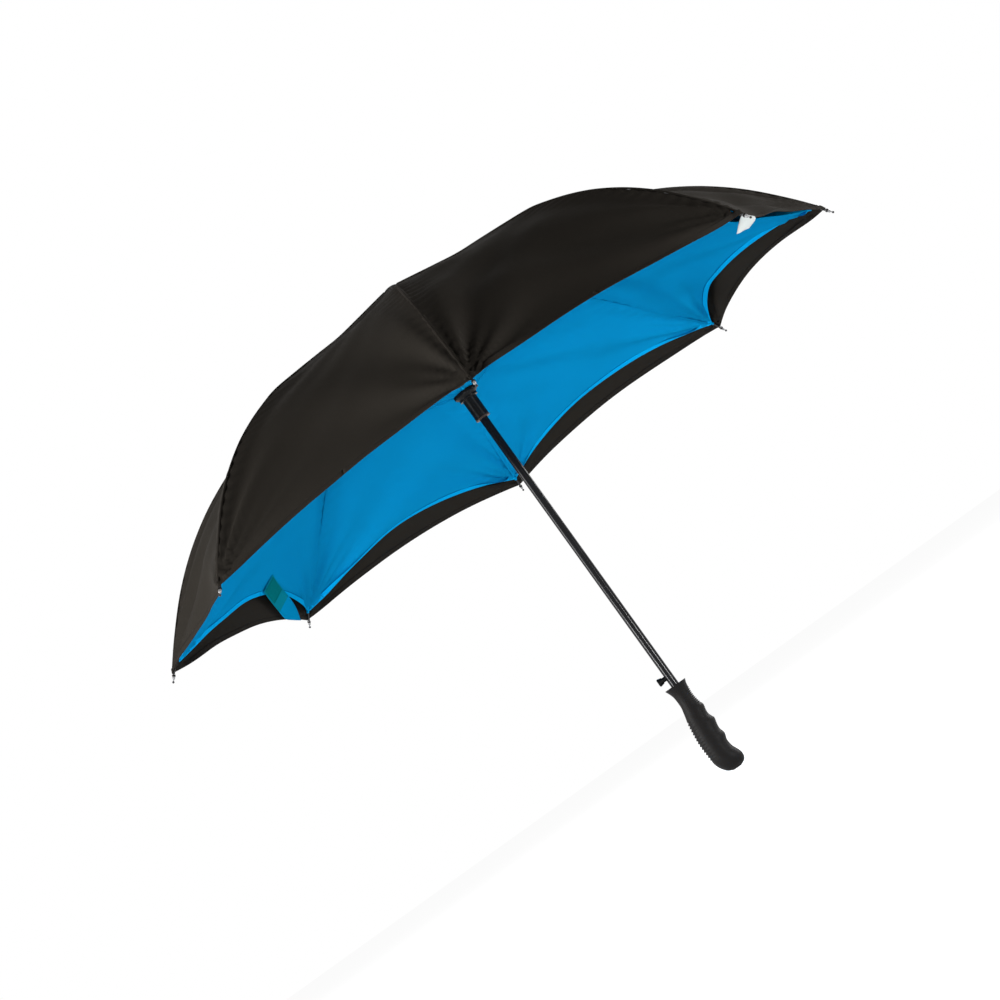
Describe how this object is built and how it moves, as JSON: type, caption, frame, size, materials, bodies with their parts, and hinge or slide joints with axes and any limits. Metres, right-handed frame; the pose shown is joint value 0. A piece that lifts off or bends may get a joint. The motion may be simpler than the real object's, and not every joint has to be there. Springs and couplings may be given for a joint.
{
  "type": "inverted umbrella",
  "caption": "Stick umbrella that folds inside out, with a double canopy on pivoted ribs and struts, a sliding runner, and a moulded grip with a release button.",
  "frame": {"origin": "middle of the grip, on the shaft's axis, where the hand holds it", "axes": "+Z along the shaft, from the grip to the canopy's crown; +X the grip's finger-groove side; the release button is on -X"},
  "size_m": [1.074, 1.074, 0.7822],
  "materials": {
    "shaft_metal": "gloss black lacquer",
    "hub_plastic": "gloss black moulding",
    "steel": "plain steel",
    "runner_ring": "dark brown moulding",
    "grip_rubber": "matt black soft rubber",
    "outer_fabric": "black coated umbrella cloth",
    "inner_fabric": "cyan umbrella cloth",
    "strap_webbing": "cyan band",
    "strap_hook": "teal hook-and-loop patch",
    "label_satin": "white satin, bare"
  },
  "bodies": {
    "root": {"shaft_tube": "shaft_metal", "shaft_plug": "hub_plastic", "crown": "hub_plastic", "crown_pin": "steel", "crown_wire": "steel", "top_cap": "hub_plastic", "runner_stop": "steel", "opening_spring": "steel", "catch_spring": "steel", "grip": "grip_rubber", "grip_core": "hub_plastic"},
    "strut_1": {"strut_1": "steel"},
    "rib_1": {"rib_1": "steel", "rib_tip_1": "steel", "outer_gore_1": "outer_fabric", "inner_gore_1": "inner_fabric"},
    "strut_2": {"strut_2": "steel"},
    "rib_2": {"rib_2": "steel", "rib_tip_2": "steel", "outer_gore_2": "outer_fabric", "inner_gore_2": "inner_fabric"},
    "strut_3": {"strut_3": "steel"},
    "rib_3": {"rib_3": "steel", "rib_tip_3": "steel", "outer_gore_3": "outer_fabric", "inner_gore_3": "inner_fabric"},
    "strut_4": {"strut_4": "steel"},
    "rib_4": {"rib_4": "steel", "rib_tip_4": "steel", "outer_gore_4": "outer_fabric", "inner_gore_4": "inner_fabric", "closing_strap": "strap_webbing", "strap_patch": "strap_hook"},
    "strut_5": {"strut_5": "steel"},
    "rib_5": {"rib_5": "steel", "rib_tip_5": "steel", "outer_gore_5": "outer_fabric", "inner_gore_5": "inner_fabric"},
    "strut_6": {"strut_6": "steel"},
    "rib_6": {"rib_6": "steel", "rib_tip_6": "steel", "outer_gore_6": "outer_fabric", "inner_gore_6": "inner_fabric"},
    "strut_7": {"strut_7": "steel"},
    "rib_7": {"rib_7": "steel", "rib_tip_7": "steel", "outer_gore_7": "outer_fabric", "inner_gore_7": "inner_fabric"},
    "strut_8": {"strut_8": "steel"},
    "rib_8": {"rib_8": "steel", "rib_tip_8": "steel", "outer_gore_8": "outer_fabric", "inner_gore_8": "inner_fabric", "care_label": "label_satin"},
    "runner": {"runner": "hub_plastic", "canopy_clamp_ring": "hub_plastic", "runner_wire": "steel", "runner_ring": "runner_ring", "spring_plunger": "steel"},
    "release_button": {"release_button": "hub_plastic"}
  },
  "joints": [
    {"name": "canopy_fold", "type": "hinge", "parent": "root", "child": "strut_1", "pos_m": [0.014, 0, 0.7062], "axis": [0, 1, 0], "range_deg": [0, 72], "stiffness_Nm_per_rad": 3, "springref_deg": -68.75, "deforming": ["outer_gore_1", "outer_gore_2", "outer_gore_3", "outer_gore_4", "outer_gore_5", "outer_gore_6", "outer_gore_7", "outer_gore_8", "inner_gore_1", "inner_gore_2", "inner_gore_3", "inner_gore_4", "inner_gore_5", "inner_gore_6", "inner_gore_7", "inner_gore_8", "closing_strap", "strap_patch", "care_label", "opening_spring"]},
    {"name": "rib_1_hinge", "type": "hinge", "parent": "strut_1", "child": "rib_1", "pos_m": [0.27465, 0, 0.6377], "axis": [0, -1, 0], "range_deg": [0, 144]},
    {"name": "runner_travel", "type": "hinge", "parent": "rib_1", "child": "runner", "pos_m": [0.014, 0, 0.5692], "axis": [0, 1, 0], "range_deg": [0, 72]},
    {"name": "strut_2_hinge", "type": "hinge", "parent": "root", "child": "strut_2", "pos_m": [0.0099, 0.0099, 0.7062], "axis": [-0.7071, 0.7071, 0], "range_deg": [0, 72]},
    {"name": "rib_2_hinge", "type": "hinge", "parent": "strut_2", "child": "rib_2", "pos_m": [0.19421, 0.19421, 0.6377], "axis": [0.7071, -0.7071, 0], "range_deg": [0, 144]},
    {"name": "strut_3_hinge", "type": "hinge", "parent": "root", "child": "strut_3", "pos_m": [0, 0.014, 0.7062], "axis": [-1, 0, 0], "range_deg": [0, 72]},
    {"name": "rib_3_hinge", "type": "hinge", "parent": "strut_3", "child": "rib_3", "pos_m": [0, 0.27465, 0.6377], "axis": [1, 0, 0], "range_deg": [0, 144]},
    {"name": "strut_4_hinge", "type": "hinge", "parent": "root", "child": "strut_4", "pos_m": [-0.0099, 0.0099, 0.7062], "axis": [-0.7071, -0.7071, 0], "range_deg": [0, 72]},
    {"name": "rib_4_hinge", "type": "hinge", "parent": "strut_4", "child": "rib_4", "pos_m": [-0.19421, 0.19421, 0.6377], "axis": [0.7071, 0.7071, 0], "range_deg": [0, 144]},
    {"name": "strut_5_hinge", "type": "hinge", "parent": "root", "child": "strut_5", "pos_m": [-0.014, 0, 0.7062], "axis": [0, -1, 0], "range_deg": [0, 72]},
    {"name": "rib_5_hinge", "type": "hinge", "parent": "strut_5", "child": "rib_5", "pos_m": [-0.27465, 0, 0.6377], "axis": [0, 1, 0], "range_deg": [0, 144]},
    {"name": "strut_6_hinge", "type": "hinge", "parent": "root", "child": "strut_6", "pos_m": [-0.0099, -0.0099, 0.7062], "axis": [0.7071, -0.7071, 0], "range_deg": [0, 72]},
    {"name": "rib_6_hinge", "type": "hinge", "parent": "strut_6", "child": "rib_6", "pos_m": [-0.19421, -0.19421, 0.6377], "axis": [-0.7071, 0.7071, 0], "range_deg": [0, 144]},
    {"name": "strut_7_hinge", "type": "hinge", "parent": "root", "child": "strut_7", "pos_m": [0, -0.014, 0.7062], "axis": [1, 0, 0], "range_deg": [0, 72]},
    {"name": "rib_7_hinge", "type": "hinge", "parent": "strut_7", "child": "rib_7", "pos_m": [0, -0.27465, 0.6377], "axis": [-1, 0, 0], "range_deg": [0, 144]},
    {"name": "strut_8_hinge", "type": "hinge", "parent": "root", "child": "strut_8", "pos_m": [0.0099, -0.0099, 0.7062], "axis": [0.7071, 0.7071, 0], "range_deg": [0, 72]},
    {"name": "rib_8_hinge", "type": "hinge", "parent": "strut_8", "child": "rib_8", "pos_m": [0.19421, -0.19421, 0.6377], "axis": [-0.7071, -0.7071, 0], "range_deg": [0, 144]},
    {"name": "button_push", "type": "slide", "parent": "root", "child": "release_button", "axis": [1, 0, 0], "range_m": [0, 0.003], "stiffness_N_per_m": 300, "springref_m": -0.003, "deforming": ["catch_spring"]}
  ],
  "couplings": [
    {"joint": "rib_1_hinge", "follows": "canopy_fold", "ratio": 2},
    {"joint": "runner_travel", "follows": "canopy_fold", "ratio": 1},
    {"joint": "strut_2_hinge", "follows": "canopy_fold", "ratio": 1},
    {"joint": "rib_2_hinge", "follows": "canopy_fold", "ratio": 2},
    {"joint": "strut_3_hinge", "follows": "canopy_fold", "ratio": 1},
    {"joint": "rib_3_hinge", "follows": "canopy_fold", "ratio": 2},
    {"joint": "strut_4_hinge", "follows": "canopy_fold", "ratio": 1},
    {"joint": "rib_4_hinge", "follows": "canopy_fold", "ratio": 2},
    {"joint": "strut_5_hinge", "follows": "canopy_fold", "ratio": 1},
    {"joint": "rib_5_hinge", "follows": "canopy_fold", "ratio": 2},
    {"joint": "strut_6_hinge", "follows": "canopy_fold", "ratio": 1},
    {"joint": "rib_6_hinge", "follows": "canopy_fold", "ratio": 2},
    {"joint": "strut_7_hinge", "follows": "canopy_fold", "ratio": 1},
    {"joint": "rib_7_hinge", "follows": "canopy_fold", "ratio": 2},
    {"joint": "strut_8_hinge", "follows": "canopy_fold", "ratio": 1},
    {"joint": "rib_8_hinge", "follows": "canopy_fold", "ratio": 2}
  ]
}
